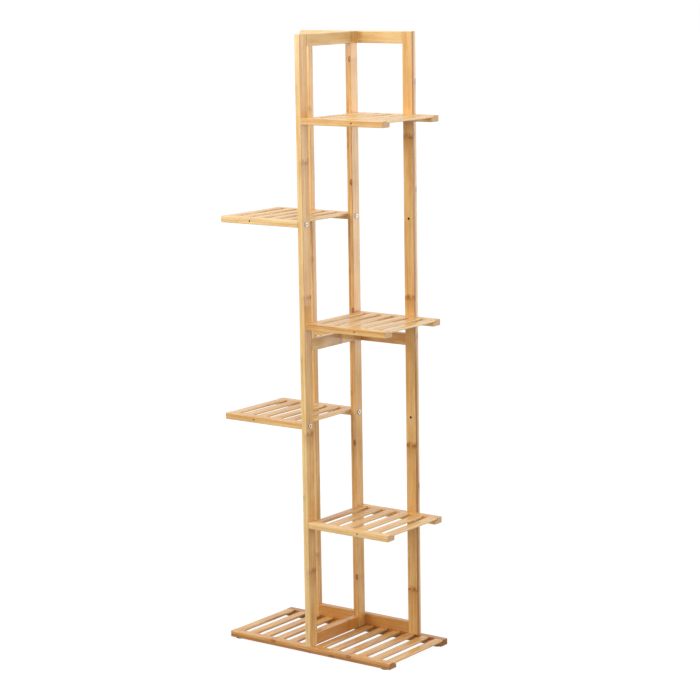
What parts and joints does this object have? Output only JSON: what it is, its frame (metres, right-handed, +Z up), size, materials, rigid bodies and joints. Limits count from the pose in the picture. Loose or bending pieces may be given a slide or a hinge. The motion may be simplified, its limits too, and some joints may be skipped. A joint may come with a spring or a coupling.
{
  "type": "tiered plant stand",
  "caption": "Tall, slim bamboo plant stand: slatted shelves branch left and right off a T-shaped tower of two ladder frames above a long slatted base.",
  "frame": {"origin": "on the floor, under the middle of the base", "axes": "+X to the right along the base, +Y from the front to the back frame, +Z up"},
  "size_m": [0.406, 0.206, 1.25],
  "materials": {
    "bamboo_post": "clear satin lacquer on laminated bamboo, long grain upright",
    "bamboo_rail": "clear satin lacquer on laminated bamboo, long grain along the rail",
    "bamboo_slat": "clear satin lacquer on solid bamboo strip",
    "screw_steel": "bright zinc plated",
    "brad_steel": "bare wire",
    "dowel_wood": "plain turned hardwood",
    "foot_pad": "matt black"
  },
  "bodies": {
    "root": {"front_mid_post": "bamboo_post", "back_mid_post": "bamboo_post", "back_left_post": "bamboo_post", "back_right_post": "bamboo_post", "depth_frame_bottom_rail": "bamboo_rail", "depth_frame_middle_rail": "bamboo_rail", "depth_frame_top_rail": "bamboo_rail", "back_frame_bottom_rail": "bamboo_rail", "back_frame_middle_rail": "bamboo_rail", "back_frame_top_rail": "bamboo_rail", "shelf_1_front_rail": "bamboo_rail", "shelf_1_back_rail": "bamboo_rail", "shelf_2_front_rail": "bamboo_rail", "shelf_2_back_rail": "bamboo_rail", "shelf_3_front_rail": "bamboo_rail", "shelf_3_back_rail": "bamboo_rail", "shelf_4_front_rail": "bamboo_rail", "shelf_4_back_rail": "bamboo_rail", "shelf_5_front_rail": "bamboo_rail", "shelf_5_back_rail": "bamboo_rail", "base_front_rail": "bamboo_rail", "base_back_rail": "bamboo_rail", "shelf_1_slat_1": "bamboo_slat", "shelf_1_slat_2": "bamboo_slat", "shelf_1_slat_3": "bamboo_slat", "shelf_1_slat_4": "bamboo_slat", "shelf_1_slat_5": "bamboo_slat", "shelf_1_slat_6": "bamboo_slat", "shelf_2_slat_1": "bamboo_slat", "shelf_2_slat_2": "bamboo_slat", "shelf_2_slat_3": "bamboo_slat", "shelf_2_slat_4": "bamboo_slat", "shelf_2_slat_5": "bamboo_slat", "shelf_2_slat_6": "bamboo_slat", "shelf_3_slat_1": "bamboo_slat", "shelf_3_slat_2": "bamboo_slat", "shelf_3_slat_3": "bamboo_slat", "shelf_3_slat_4": "bamboo_slat", "shelf_3_slat_5": "bamboo_slat", "shelf_3_slat_6": "bamboo_slat", "shelf_4_slat_1": "bamboo_slat", "shelf_4_slat_2": "bamboo_slat", "shelf_4_slat_3": "bamboo_slat", "shelf_4_slat_4": "bamboo_slat", "shelf_4_slat_5": "bamboo_slat", "shelf_4_slat_6": "bamboo_slat", "shelf_5_slat_1": "bamboo_slat", "shelf_5_slat_2": "bamboo_slat", "shelf_5_slat_3": "bamboo_slat", "shelf_5_slat_4": "bamboo_slat", "shelf_5_slat_5": "bamboo_slat", "shelf_5_slat_6": "bamboo_slat", "base_slats": "bamboo_slat", "shelf_screws": "screw_steel", "side_post_screws": "screw_steel", "frame_joining_screws": "screw_steel", "base_screws": "screw_steel", "frame_dowels": "dowel_wood", "slat_brads": "brad_steel", "foot_pads": "foot_pad"}
  },
  "joints": []
}
